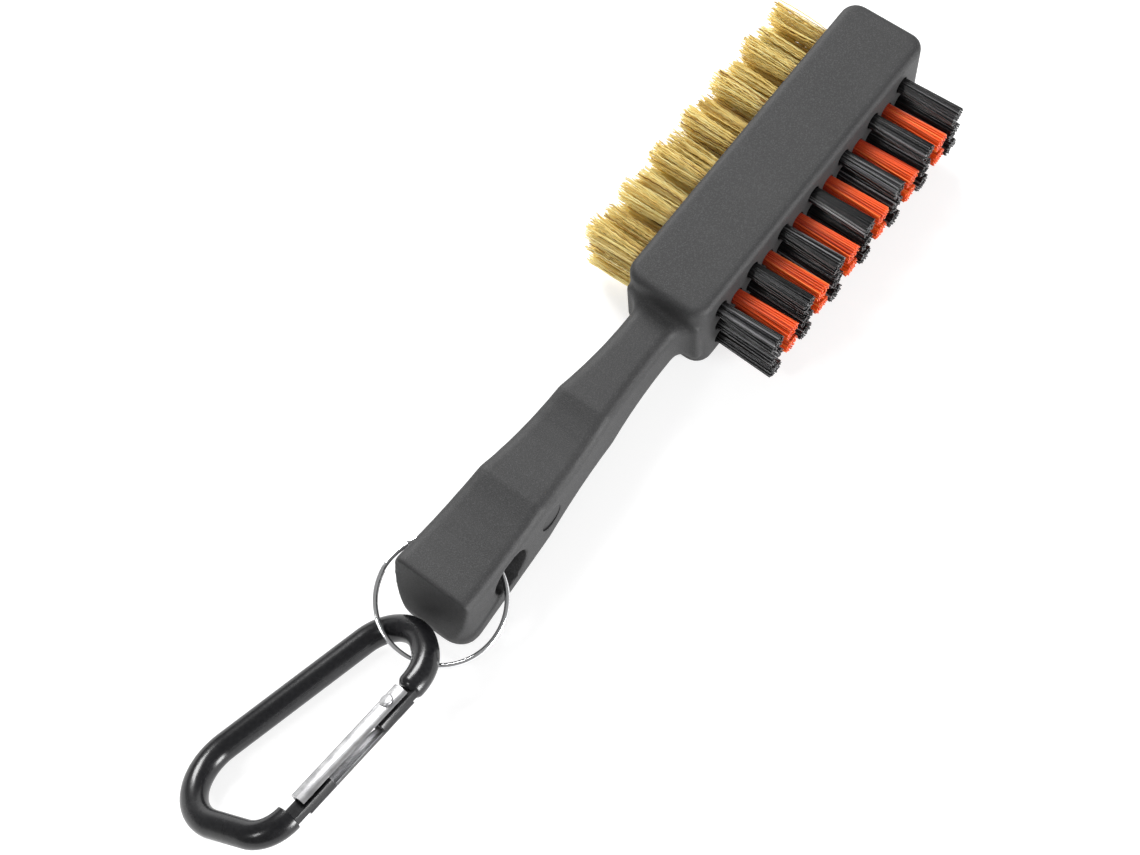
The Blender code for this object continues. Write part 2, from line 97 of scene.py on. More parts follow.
# Split ring, with a wire slightly thinner than the frame's, so that it swings clear of the rod
RING_RADIUS = 10.6 * MM
RING_WIRE_RADIUS = 0.43 * MM
RING_TURN_PITCH = 0.95 * MM
RING_STEP_ANGLE = math.radians(28.0)
RING_FIRST_ANGLE = math.radians(100.0)
RING_END_GAP = math.radians(4.0)
RING_POINTS = 260
RING_END_BEVEL = 0.08 * MM
RING_PIVOT = Vector((RING_HOLE_X, 0.0, 9.25 * MM)) + Vector((0.64, -0.34, -0.46)) * MM
RING_YAW = math.radians(1.0)
RING_DROOP = math.radians(7.0)
RING_ROLL = math.radians(10.0)

# Carabiner, in its own plane: U along the spine, V from the spine to the gate, N across.
# The loop's corners and radii are in millimetres, and the rod is slightly thinner than the frame's.
ROD_RADIUS = 2.26 * MM
ROD_END_TAPER = 1.6 * MM
ROD_END_LOSS = 0.28
ROD_BEVEL = 0.22 * MM
LOOP_CORNERS = ((-7.4, -0.6), (-2.9, 14.1), (31.9, 23.5), (45.2, -0.1))
LOOP_RADII = (7.4, 7.2, 5.9, 9.0)
TILT = math.radians(31.4)
SPINE_HEADING = math.radians(164.6)
SPINE_DROP = math.radians(2.1)
SPINE_START = Vector((-103.25, 5.5, 3.65)) * MM
GATE_START = 5.8 * MM
GATE_LENGTH = 23.0 * MM
GATE_OFFSET = 0.1 * MM
GATE_RADIUS = 2.1 * MM
GATE_SLOT_ANGLE = math.radians(37.0)
GATE_SHEET = 0.5 * MM
GATE_BACK_CUT = 4.6 * MM
GATE_BACK_LEVEL = -1.3 * MM
GATE_BEVEL = 0.10 * MM
TENON_HALF_THICKNESS = 0.65 * MM
TENON_INNER_EDGE = -1.0 * MM
TENON_OUTER_EDGE = 1.9 * MM
HINGE_TENON_LENGTH = 6.5 * MM
NOSE_TENON_LENGTH = 5.5 * MM
TENON_TAIL = 1.5 * MM
HINGE_SHOULDER_GAP = 0.6 * MM
NOSE_SHOULDER_GAP = 2.4 * MM
RIVET_INSET = 3.0 * MM
RIVET_OFFSET = 0.2 * MM
RIVET_RADIUS = 0.5 * MM
RIVET_HOLE_RADIUS = 0.75 * MM
RIVET_HEAD_RADIUS = 1.15 * MM
RIVET_HEAD_HEIGHT = 0.4 * MM
RIVET_HEAD_SINK = 0.05 * MM
RIVET_CUTTER_DEPTH = 9.0 * MM
FIT_GAP = 0.3 * MM
SPRING_RADIUS = 0.3 * MM
SPRING_LENGTH = 10.0 * MM
SPRING_RISE = 1.2 * MM

# Stage
FLOOR_SIZE = 3.0
FLOOR_DROP = 0.05 * MM


# ---------------------------------------------------------------- nodes and materials


class Nodes:
    """A material's node tree, with short ways to add and link its nodes."""

    def __init__(self, name):
        self.material = bpy.data.materials.new(name)
        self.material.use_nodes = True
        self.tree = self.material.node_tree
        self.shader = self.tree.nodes["Principled BSDF"]
        self.place = self.tree.nodes.new("ShaderNodeTexCoord").outputs["Object"]

    def add(self, kind, **values):
        node = self.tree.nodes.new(kind)
        for key, value in values.items():
            setattr(node, key, value)
        return node

    def link(self, source, target):
        self.tree.links.new(source, target)

    def fixed(self, **values):
        for name, value in values.items():
            self.shader.inputs[name.replace("_", " ")].default_value = value

    def stretched(self, scale):
        node = self.add("ShaderNodeMapping")
        node.inputs["Scale"].default_value = scale
        self.link(self.place, node.inputs["Vector"])
        return node.outputs["Vector"]

    def noise(self, scale, detail=3.0, roughness=0.55, vector=None):
        node = self.add("ShaderNodeTexNoise")
        node.inputs["Scale"].default_value = scale
        node.inputs["Detail"].default_value = detail
        node.inputs["Roughness"].default_value = roughness
        self.link(self.place if vector is None else vector, node.inputs["Vector"])
        return node.outputs["Fac"]

    def attribute(self, name):
        node = self.add("ShaderNodeAttribute", attribute_name=name)
        return node.outputs["Fac"]

    def ramp(self, factor, stops):
        node = self.add("ShaderNodeValToRGB")
        elements = node.color_ramp.elements
        while len(elements) < len(stops):
            elements.new(0.5)
        for element, (position, colour) in zip(elements, stops):
            element.position = position
            element.color = (*colour, 1.0)
        self.link(factor, node.inputs["Fac"])
        return node.outputs["Color"]

    def span(self, factor, low, high, start=0.0, end=1.0):
        node = self.add("ShaderNodeMapRange")
        for name, value in (("From Min", start), ("From Max", end), ("To Min", low), ("To Max", high)):
            node.inputs[name].default_value = value
        self.link(factor, node.inputs["Value"])
        return node.outputs["Result"]

    def mix(self, factor, first, second, blend="MIX"):
        node = self.add("ShaderNodeMix", data_type="RGBA", blend_type=blend)
        colours = [socket for socket in node.inputs if socket.type == "RGBA"]
        for socket, value in zip(colours, (first, second)):
            if isinstance(value, tuple):
                socket.default_value = (*value, 1.0)
            else:
                self.link(value, socket)
        target = node.inputs["Factor"]
        if isinstance(factor, float):
            target.default_value = factor
        else:
            self.link(factor, target)
        return [socket for socket in node.outputs if socket.type == "RGBA"][0]

    def bump(self, height, distance, strength=1.0, normal=None):
        node = self.add("ShaderNodeBump")
        node.inputs["Distance"].default_value = distance
        node.inputs["Strength"].default_value = strength
        self.link(height, node.inputs["Height"])
        if normal is not None:
            self.link(normal, node.inputs["Normal"])
        return node.outputs["Normal"]

    def colour(self, value):
        self.link(value, self.shader.inputs["Base Color"])

    def roughness(self, value):
        self.link(value, self.shader.inputs["Roughness"])

    def normal(self, value):
        self.link(value, self.shader.inputs["Normal"])


def plastic_material():
    """Charcoal moulded plastic with a spark-eroded grain and fine pale specks."""
    n = Nodes("charcoal_plastic")
    n.fixed(Metallic=0.0)
    n.fixed(Specular_IOR_Level=0.40)
    clouds = n.noise(90.0, 4.0)
    grain = n.noise(5200.0, 2.0, 0.6)
    specks = n.noise(5000.0, 3.0, 0.6)
    base = n.ramp(clouds, ((0.3, (0.017, 0.017, 0.0175)), (0.7, (0.023, 0.023, 0.0235))))
    pale = n.ramp(specks, ((0.48, (0.0, 0.0, 0.0)), (0.74, (1.0, 1.0, 1.0))))
    n.colour(n.mix(pale, base, (0.048, 0.048, 0.049)))
    n.roughness(n.span(grain, 0.50, 0.70))
    coarse = n.bump(n.noise(420.0, 3.0), 0.04 * MM, 0.3)
    n.normal(n.bump(grain, 0.05 * MM, 1.0, coarse))
    return n.material


def nylon_material(name, dark, usual, light, root, rough):
    """Round filaments, each in its own tone: the darkest strands are painted shade in the gaps between
    strands and the lightest are painted highlight streaks; all are darker in the shadow of the head.
    """
    n = Nodes(name)
    n.fixed(Specular_IOR_Level=0.7)
    # The dark stop paints shade in the gaps between strands; the light stop paints highlight streaks
    # along strands.
    stops = ((0.0, dark), (0.35, usual), (0.80, usual), (1.0, light))
    shade = n.ramp(n.attribute("shade"), stops)
    root_shade_mask = n.span(n.attribute("along"), 0.0, 1.0, 0.05, 0.40)
    n.colour(n.mix(root_shade_mask, root, shade))
    scratches = n.noise(1.0, 2.0, 0.6, n.stretched((2600.0, 240.0, 2600.0)))
    n.roughness(n.span(scratches, rough - 0.06, rough + 0.10))
    n.normal(n.bump(scratches, 0.01 * MM, 0.3))
    return n.material


def brass_material():
    """Crimped brass wire: pale gold, with the darkest wires painted as shade in the gaps and all wires
    painted in brown shade towards the root, and with dull and bright stretches.
    """
    n = Nodes("crimped_brass")
    n.fixed(Metallic=0.30)
    # The dark stop is painted shade: dark brown wires stand for the gaps between wires.
    shade = n.ramp(
        n.attribute("shade"),
        ((0.0, (0.26, 0.11, 0.02)), (0.22, (0.98, 0.76, 0.27)), (1.0, (1.0, 0.93, 0.48))),
    )
    tarnish = n.ramp(n.noise(300.0, 3.0), ((0.35, (0.88, 0.82, 0.66)), (0.6, (1.0, 1.0, 1.0))))
    mixed = n.mix(1.0, shade, tarnish, "MULTIPLY")
    # Painted shade: the wires turn dark brown towards the root, where the head and the other wires
    # shade them.
    root_shade_mask = n.span(n.attribute("along"), 0.0, 1.0, 0.05, 0.28)
    n.colour(n.mix(root_shade_mask, (0.30, 0.13, 0.03), mixed))
    dull = n.noise(2200.0, 2.0)
    n.roughness(n.span(dull, 0.24, 0.46))
    n.normal(n.bump(dull, 0.02 * MM, 0.6))
    return n.material


def chrome_material():
    n = Nodes("bright_chrome")
    n.fixed(Metallic=1.0)
    film = n.noise(700.0, 4.0)
    n.colour(n.ramp(film, ((0.3, (0.84, 0.85, 0.86)), (0.7, (0.95, 0.95, 0.96)))))
    n.roughness(n.span(n.noise(2400.0, 3.0), 0.07, 0.20))
    n.normal(n.bump(film, 0.02 * MM, 0.35))
    return n.material


def black_gloss_material():
    """Glossy black anodising with faint pits and handling marks."""
    n = Nodes("gloss_black_anodising")
    n.fixed(Metallic=0.0)
    n.fixed(Specular_IOR_Level=0.35)
    n.fixed(Coat_Weight=0.12)
    n.fixed(Coat_Roughness=0.10)
    marks = n.noise(1500.0, 4.0, 0.65)
    wide = n.noise(160.0, 3.0)
    n.colour(n.ramp(marks, ((0.35, (0.004, 0.004, 0.005)), (0.8, (0.013, 0.013, 0.014)))))
    n.roughness(n.span(wide, 0.20, 0.34))
    n.normal(n.bump(marks, 0.03 * MM, 0.35, n.bump(wide, 0.10 * MM, 0.3)))
    return n.material


def brushed_material(name, scale, dark, light):
    """Satin metal with fine draw lines, long where the scale is small."""
    n = Nodes(name)
    n.fixed(Metallic=1.0)
    lines = n.noise(1.0, 4.0, 0.7, n.stretched(scale))
    wear = n.noise(500.0, 3.0)
    n.colour(n.mix(n.span(wear, 0.0, 1.0, 0.35, 0.7), dark, n.ramp(lines, ((0.3, dark), (0.7, light)))))
    n.roughness(n.span(lines, 0.30, 0.50))
    n.normal(n.bump(lines, 0.03 * MM, 0.5))
    return n.material


# ---------------------------------------------------------------- mesh helpers


def add_piece(name, data, finish, matrix=None):
    made = bpy.data.objects.new(name, data)
    bpy.context.scene.collection.objects.link(made)
    data.materials.clear()
    data.materials.append(finish)
    if matrix is not None:
        made.matrix_world = matrix
    return made


def settle(piece, body, slot, *nodes):
    """The piece rides on its body and stands for its CAD nodes."""
    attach(piece, body)
    if nodes:
        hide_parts(*nodes)


def mesh_from(name, bm):
    mesh = bpy.data.meshes.new(name)
    bmesh.ops.recalc_face_normals(bm, faces=bm.faces)
    bm.to_mesh(mesh)
    bm.free()
    return mesh


def baked_mesh(name, item):
    """The evaluated mesh of an object with doubled points welded; the object goes."""
    bpy.context.view_layer.update()
    evaluated = item.evaluated_get(bpy.context.evaluated_depsgraph_get())
    mesh = bpy.data.meshes.new_from_object(evaluated)
    mesh.name = name
    bm = bmesh.new()
    bm.from_mesh(mesh)
    bmesh.ops.remove_doubles(bm, verts=bm.verts, dist=WELD_DISTANCE)
    bmesh.ops.recalc_face_normals(bm, faces=bm.faces)
    bm.to_mesh(mesh)
    bm.free()
    bpy.data.objects.remove(item, do_unlink=True)
    return mesh


def smooth(mesh, degrees=35.0):
    mesh.shade_smooth()
    mesh.set_sharp_from_angle(angle=math.radians(degrees))


def scratch_object(name, data, matrix=None):
    made = bpy.data.objects.new(name, data)
    bpy.context.scene.collection.objects.link(made)
    if matrix is not None:
        made.matrix_world = matrix
    return made


def cylinder_mesh(name, radius, depth, sides):
    bm = bmesh.new()
    bmesh.ops.create_cone(
        bm, cap_ends=True, segments=sides, radius1=radius, radius2=radius, depth=depth
    )
    return mesh_from(name, bm)


def box_mesh(name, low, high):
    bm = bmesh.new()
    bmesh.ops.create_cube(bm, size=1.0)
    size = Vector(high) - Vector(low)
    middle = (Vector(high) + Vector(low)) / 2
    place = Matrix.Translation(middle) @ Matrix.Diagonal((*size, 1.0))
    bmesh.ops.transform(bm, matrix=place, verts=bm.verts)
    return mesh_from(name, bm)


def carved_mesh(name, base, changes):
    """The base mesh after a chain of exact Booleans, each as operation, mesh and place."""
    item = scratch_object(name, base)
    tools = []
    for operation, mesh, matrix in changes:
        tool = scratch_object("tool", mesh, matrix)
        tools.append(tool)
        modifier = item.modifiers.new(operation, "BOOLEAN")
        modifier.operation = operation
        modifier.solver = "EXACT"
        modifier.object = tool
    mesh = baked_mesh(name, item)
    for tool in tools:
        bpy.data.objects.remove(tool, do_unlink=True)
    return mesh


def bevelled_mesh(name, mesh, width, segments=3, degrees=35.0):
    item = scratch_object(name, mesh)
    bevel = item.modifiers.new("edges", "BEVEL")
    bevel.width = width
    bevel.segments = segments
    bevel.limit_method = "ANGLE"
    bevel.angle_limit = math.radians(degrees)
    return baked_mesh(name, item)


def tube_mesh(name, points, radius, resolution, scales=None):
    curve = bpy.data.curves.new(name, "CURVE")
    curve.dimensions = "3D"
    curve.bevel_depth = radius
    curve.bevel_resolution = resolution
    curve.use_fill_caps = True
    spline = curve.splines.new("POLY")
    spline.points.add(len(points) - 1)
    for target, point in zip(spline.points, points):
        target.co = (*point, 1.0)
    if scales is not None:
        for target, scale in zip(spline.points, scales):
            target.radius = scale
    return baked_mesh(name, scratch_object(name, curve))


# ---------------------------------------------------------------- brush body


def tuft_cylinders(frame, radius, depth, beyond):
    """A cylinder in the place of every tuft hole, from its bottom to beyond the side face."""
    bm = bmesh.new()
    places = []
    for node in frame["nodes"]:
        low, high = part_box(node)
        x, z = (low.x + high.x) / 2, (low.z + high.z) / 2
        if "_tuft_" in node:
            places.append((x, z, -1))
        elif node.startswith("brass_column"):
            rows = (1, 0, -1) if int(node.split("_")[-1]) % 2 else (0.5, -0.5)
            places += [(x, z + row * ROW_PITCH, 1) for row in rows]
    for x, z, side in places:
        middle = side * (HEAD_SIDE_Y - depth + (depth + beyond) / 2)
        turn = Matrix.Rotation(math.pi / 2, 4, "X")
        bmesh.ops.create_cone(
            bm,
            cap_ends=True,
            segments=HOLE_SIDES,
            radius1=radius,
            radius2=radius,
            depth=depth + beyond,
            matrix=Matrix.Translation((x, middle, z)) @ turn,
        )
    return mesh_from("tuft_cylinders", bm)


def build_body(frame, finish):
    """The CAD body with its tuft holes filled, its edges softened, and every hole cut crisp."""
    source = frame["nodes"]["brush_body"].data.copy()
    bm = bmesh.new()
    bm.from_mesh(source)
    bmesh.ops.remove_doubles(bm, verts=bm.verts, dist=WELD_DISTANCE)
    bm.to_mesh(source)
    bm.free()
    plug_depth = HOLE_DEPTH + PLUG_EXTRA_DEPTH
    plugs = tuft_cylinders(frame, CAD_HOLE_RADIUS + PLUG_MARGIN, plug_depth, 0.0)
    source = carved_mesh("body_blank", source, (("UNION", plugs, Matrix.Identity(4)),))
    item = scratch_object("body_blank", source)
    remesh = item.modifiers.new("voxels", "REMESH")
    remesh.mode = "VOXEL"
    remesh.voxel_size = BODY_VOXEL
    relax = item.modifiers.new("soft_edges", "SMOOTH")
    relax.factor = 0.5
    relax.iterations = BODY_SMOOTHING
    mesh = baked_mesh("brush_body_shell", item)
    across = Matrix.Rotation(math.pi / 2, 4, "X")
    low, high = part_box("brush_body")
    middle_z = (low.z + high.z) / 2
    hole = cylinder_mesh("hole", RING_HOLE_RADIUS, RING_HOLE_CUTTER_DEPTH, 64)
    mark = cylinder_mesh("mark", MOULD_MARK_RADIUS, 2 * CUTTER_EXCESS, 48)
    mark_y = MOULD_MARK_FACE_Y + MOULD_MARK_DEPTH - CUTTER_EXCESS
    holes = tuft_cylinders(frame, HOLE_RADIUS, HOLE_DEPTH, CUTTER_EXCESS)
    changes = (
        ("DIFFERENCE", holes, Matrix.Identity(4)),
        ("DIFFERENCE", hole, Matrix.Translation((RING_HOLE_X, 0, middle_z)) @ across),
        ("DIFFERENCE", mark, Matrix.Translation((MOULD_MARK_X, mark_y, middle_z)) @ across),
    )
    mesh = carved_mesh("brush_body_shell", mesh, changes)
    smooth(mesh, 40.0)
    settle(add_piece("brush_body_shell", mesh, finish), "brush", "moulded_plastic", "brush_body")


# ---------------------------------------------------------------- tufts


def strand_lines(kind, tufts, side, tip_y, rng):
    """Middle lines of all strands, as rows of points, with each strand's shade.

    A tuft is the X and Z of its middle and the X and Z radii of its tip.
    """
    rows = kind["rows"]
    along = np.linspace(0.0, 1.0, rows)
    lines, shades = [], []
    for x, z, tip_x, tip_z in tufts:
        start_y = side * (HEAD_SIDE_Y - ROOT_DEPTH)
        order = np.arange(kind["count"])
        reach = np.sqrt((order + 0.5) / kind["count"])
        angle = order * GOLDEN_ANGLE + rng.uniform(0.0, math.tau)
        jitter = rng.normal(0.0, 1.0, (kind["count"], 2))
        edge = 1.0 - kind["strand_radius"] / kind["root_radius"]
        root = np.stack([np.cos(angle), np.sin(angle)], 1) * reach[:, None]
        tip = root * np.array([tip_x, tip_z]) + jitter * kind["tip_spread"]
        root = root * kind["root_radius"] * edge
        end = tip_y - side * rng.uniform(0.0, 1.0, kind["count"]) ** 2 * kind["length_spread"]
        bow = rng.normal(0.0, kind["bow"], (kind["count"], 2))
        phase = rng.uniform(0.0, math.tau, kind["count"])
        lean = rng.uniform(0.0, math.tau, kind["count"])
        length = np.abs(end - start_y)
        line = np.empty((kind["count"], rows, 3))
        arch = along * (1.0 - along) * 4.0
        wave = np.sin(phase[:, None] + math.tau * along * (length / kind["wave"])[:, None])
        wave *= kind["crimp"]
        for axis, column, middle, push in ((0, 0, x, np.cos(lean)), (2, 1, z, np.sin(lean))):
            straight = root[:, column, None] * (1.0 - along) + tip[:, column, None] * along
            line[:, :, axis] = middle + straight + bow[:, column, None] * arch
            line[:, :, axis] += wave * push[:, None]
        line[:, :, 1] = start_y + (end - start_y)[:, None] * along
        lines.append(line)
        shades.append(rng.uniform(0.0, 1.0, kind["count"]))
    return np.concatenate(lines), np.concatenate(shades), along


def strands_mesh(name, kind, lines, shades, along):
    """A closed round strand about each middle line, carrying its shade and place along it."""
    count, rows, _ = lines.shape
    sides = kind["sides"]
    turn = np.linspace(0.0, math.tau, sides, endpoint=False)
    circle = np.stack([np.cos(turn), np.zeros(sides), np.sin(turn)], 1) * kind["strand_radius"]
    verts = lines[:, :, None, :] + circle
    index = np.arange(count * rows * sides).reshape(count, rows, sides)
    after = np.roll(index, -1, axis=2)
    quads = np.stack([index[:, :-1], after[:, :-1], after[:, 1:], index[:, 1:]], -1)
    faces = quads.reshape(-1, 4).tolist()
    faces += index[:, -1].tolist()
    faces += index[:, 0, ::-1].tolist()
    mesh = bpy.data.meshes.new(name)
    mesh.from_pydata(verts.reshape(-1, 3).tolist(), [], faces)
    for key, values in (
        ("shade", np.repeat(shades, rows * sides)),
        ("along", np.tile(np.repeat(along, sides), count)),
    ):
        layer = mesh.attributes.new(key, "FLOAT", "POINT")
        layer.data.foreach_set("value", values.astype(np.float32))
    bm = bmesh.new()
    bm.from_mesh(mesh)
    bmesh.ops.recalc_face_normals(bm, faces=bm.faces)
    bm.to_mesh(mesh)
    bm.free()
    smooth(mesh, 50.0)
    return mesh


def build_nylon(frame, finishes):
    """A bundle of straight filaments for each nylon tuft of the frame."""
    for order, node in enumerate(sorted(n for n in frame["nodes"] if "_tuft_" in n)):
        colour = node.split("_")[0]
        low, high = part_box(node)
        middle = (low + high) / 2
        reach = [size / 2 - NYLON["strand_radius"] for size in high - low]
        tufts = ((middle.x, middle.z, reach[0], reach[2]),)
        rng = np.random.default_rng(100 + order)
        lines, shades, along = strand_lines(NYLON, tufts, -1, low.y, rng)
        name = node.replace("tuft", "bristles")
        mesh = strands_mesh(name, NYLON, lines, shades, along)
        settle(add_piece(name, mesh, finishes[colour]), "brush", f"{colour}_nylon", node)


def build_brass(frame, finish):
    """Crimped wires for each brass column: three tufts in odd columns, two in even ones."""
    columns = sorted((n for n in frame["nodes"] if n.startswith("brass_column")), key=len)
    for order, node in enumerate(columns):
        number = int(node.split("_")[-1])
        low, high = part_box(node)
        middle = (low + high) / 2
        rows = (1.0, 0.0, -1.0) if number % 2 else (0.5, -0.5)
        tip_x = (high.x - low.x) / 2
        tip_z = (high.z - low.z) / 2 - rows[0] * ROW_PITCH
        tufts = [(middle.x, middle.z + row * ROW_PITCH, tip_x, tip_z) for row in rows]
        rng = np.random.default_rng(500 + number)
        lines, shades, along = strand_lines(BRASS, tufts, 1, high.y, rng)
        name = f"brass_wires_{number}"
        mesh = strands_mesh(name, BRASS, lines, shades, along)
        settle(add_piece(name, mesh, finish), "brush", "brass_wire", node)


# ---------------------------------------------------------------- split ring


def ring_points():
    """Two turns in two planes, with one short step between them and both ends beside it."""
    total = 4 * math.pi - RING_STEP_ANGLE - RING_END_GAP
    points = []
    for k in range(RING_POINTS + 1):
        angle = total * k / RING_POINTS
        rise = (angle - (2 * math.pi - RING_STEP_ANGLE)) / RING_STEP_ANGLE
        rise = min(max(rise, 0.0), 1.0)
        level = (rise * rise * (3.0 - 2.0 * rise) - 0.5) * RING_TURN_PITCH
        turn = angle + RING_FIRST_ANGLE
        points.append((RING_RADIUS * math.cos(turn), RING_RADIUS * math.sin(turn), level))
    return points


def ring_matrix():
    turn = Euler((0, 0, RING_YAW)).to_matrix().to_4x4()
    turn = Euler((0, -RING_DROOP, 0)).to_matrix().to_4x4() @ turn
    turn = Euler((RING_ROLL, 0, 0)).to_matrix().to_4x4() @ turn
    return Matrix.Translation(RING_PIVOT) @ turn @ Matrix.Translation((-RING_RADIUS, 0, 0))


def build_ring(finish):
    mesh = tube_mesh("split_ring_wire", ring_points(), RING_WIRE_RADIUS, 5)
    mesh = bevelled_mesh("split_ring_wire", mesh, RING_END_BEVEL, 2, 60.0)
    smooth(mesh, 50.0)
    piece = add_piece("split_ring_wire", mesh, finish, ring_matrix())
    settle(piece, "ring", "chromed_steel", "split_ring")


# ---------------------------------------------------------------- carabiner


def carabiner_matrix():
    """Columns are U along the spine, V towards the gate and N across the loop."""
    flat = math.cos(SPINE_DROP)
    ahead = (flat * math.cos(SPINE_HEADING), flat * math.sin(SPINE_HEADING), -math.sin(SPINE_DROP))
    along = Vector(ahead)
    level = Vector((-math.sin(SPINE_HEADING), math.cos(SPINE_HEADING), 0.0))
    up = along.cross(level)
    side = level * math.cos(TILT) + up * math.sin(TILT)
    turn = Matrix((along, side, along.cross(side))).transposed().to_4x4()
    return Matrix.Translation(SPINE_START) @ turn


def loop_geometry():
    """The loop's corners, and their arcs: each as centre, radius, start angle and turn."""
    corners = [Vector(c) * MM for c in LOOP_CORNERS]
    arcs = []
    for k, corner in enumerate(corners):
        radius = LOOP_RADII[k] * MM
        to_last = (corners[k - 1] - corner).normalized()
        to_next = (corners[(k + 1) % len(corners)] - corner).normalized()
        half = to_last.angle(to_next) / 2
        centre = corner + (to_last + to_next).normalized() * radius / math.sin(half)
        start = corner + to_last * radius / math.tan(half) - centre
        arcs.append((centre, radius, math.atan2(start.y, start.x), math.pi - 2 * half))
    return corners, arcs


def gate_line():
    """Where the gate starts on the loop's gate side, and its direction."""
    corners, _ = loop_geometry()
    direction = (corners[2] - corners[1]).normalized()
    return corners[1] + direction * GATE_START, direction


def gate_matrix():
    """The gate's own frame: X along the gate, Y outward, Z across, at the gate's start."""
    start, direction = gate_line()
    turn = Matrix.Rotation(math.atan2(direction.y, direction.x), 4, "Z")
    offset = Matrix.Translation((0, GATE_OFFSET, 0))
    return carabiner_matrix() @ Matrix.Translation((start.x, start.y, 0)) @ turn @ offset


def rod_points():
    """The rod's middle line, from the nose shoulder round the loop to the hinge shoulder."""
    _, arcs = loop_geometry()
    start, direction = gate_line()
    points = [start + direction * (GATE_LENGTH + NOSE_SHOULDER_GAP)]
    for k in (2, 3, 0, 1):
        centre, radius, first, turn = arcs[k]
        steps = max(8, round(math.degrees(turn) / 4))
        for step in range(steps + 1):
            angle = first - turn * step / steps
            points.append(centre + Vector((math.cos(angle), math.sin(angle))) * radius)
    points.append(start - direction * HINGE_SHOULDER_GAP)
    return [(p.x, p.y, 0.0) for p in points]


def rod_with_round_ends():
    """The rod's middle line with extra points by its ends, and the rod's scale at each point."""
    points = [Vector(p) for p in rod_points()]
    extra = []
    for end, inner in ((points[0], points[1]), (points[-1], points[-2])):
        length = min(ROD_END_TAPER, 0.95 * (inner - end).length)
        steps = [k / 5 for k in range(1, 6)]
        line = [end + (inner - end).normalized() * length * t for t in steps]
        extra.append((line, [1.0 - ROD_END_LOSS * (1.0 - t) ** 2 for t in steps]))
    smallest = 1.0 - ROD_END_LOSS
    middle = points[1:-1]
    (first, first_scales), (last, last_scales) = extra
    line = [points[0], *first, *middle, *reversed(last), points[-1]]
    scales = [smallest, *first_scales, *[1.0] * len(middle), *reversed(last_scales), smallest]
    return line, scales


def tenon_mesh(start, end):
    low = (start, TENON_INNER_EDGE, -TENON_HALF_THICKNESS)
    high = (end, TENON_OUTER_EDGE, TENON_HALF_THICKNESS)
    return box_mesh("tenon", low, high)


def build_carabiner(finish):
    """The bent rod with round ends, a tenon at each side of its opening and the rivet's hole."""
    place = carabiner_matrix()
    local = place.inverted() @ gate_matrix()
    rivet = local @ Matrix.Translation((RIVET_INSET, RIVET_OFFSET, 0))
    points, scales = rod_with_round_ends()
    mesh = tube_mesh("carabiner_rod", points, ROD_RADIUS, 10, scales)
    hinge = tenon_mesh(-HINGE_SHOULDER_GAP - TENON_TAIL, HINGE_TENON_LENGTH)
    root = GATE_LENGTH + NOSE_SHOULDER_GAP + TENON_TAIL
    nose = tenon_mesh(GATE_LENGTH - NOSE_TENON_LENGTH, root)
    hole = cylinder_mesh("hole", RIVET_HOLE_RADIUS, RIVET_CUTTER_DEPTH, 40)
    changes = (("UNION", hinge, local), ("UNION", nose, local), ("DIFFERENCE", hole, rivet))
    mesh = carved_mesh("carabiner_rod", mesh, changes)
    mesh = bevelled_mesh("carabiner_rod", mesh, ROD_BEVEL, 3, 50.0)
    smooth(mesh, 50.0)
    piece = add_piece("carabiner_rod", mesh, finish, place)
    settle(piece, "carabiner", "black_anodised_aluminium", "carabiner_body")


def gate_outline():
    """The rolled sheet's section, a tube with a slot along its outer side, as Y and Z."""
    inner = GATE_RADIUS - GATE_SHEET
    half = math.pi - GATE_SLOT_ANGLE
    arc = [math.pi + half * (k / 36 - 1.0) for k in range(73)]
    outer_arc = [(GATE_RADIUS * math.cos(a), GATE_RADIUS * math.sin(a)) for a in arc]
    inner_arc = [(inner * math.cos(a), inner * math.sin(a)) for a in reversed(arc)]
    return outer_arc + inner_arc


def build_gate(finish):
    """The rolled sheet gate, cut back behind its hinge so that it can turn inward."""
    bm = bmesh.new()
    outline = gate_outline()
    ends = [[bm.verts.new((x, y, z)) for y, z in outline] for x in (0.0, GATE_LENGTH)]
    for k in range(len(outline)):
        after = (k + 1) % len(outline)
        bm.faces.new((ends[0][k], ends[0][after], ends[1][after], ends[1][k]))
    bm.faces.new(ends[0])
    bm.faces.new(reversed(ends[1]))
    mesh = mesh_from("gate_sheet", bm)
    low = (-MM, -2 * GATE_RADIUS, -2 * GATE_RADIUS)
    high = (GATE_BACK_CUT, GATE_BACK_LEVEL, 2 * GATE_RADIUS)
    hole = cylinder_mesh("hole", RIVET_HOLE_RADIUS, RIVET_CUTTER_DEPTH, 40)
    changes = (
        ("DIFFERENCE", hole, Matrix.Translation((RIVET_INSET, RIVET_OFFSET, 0))),
        ("DIFFERENCE", box_mesh("back", low, high), Matrix.Identity(4)),
    )
    mesh = carved_mesh("gate_sheet", mesh, changes)
    mesh = bevelled_mesh("gate_sheet", mesh, GATE_BEVEL, 3, 50.0)
    smooth(mesh, 40.0)
    piece = add_piece("gate_sheet", mesh, finish, gate_matrix())
    settle(piece, "gate", "bare_aluminium", "carabiner_gate")


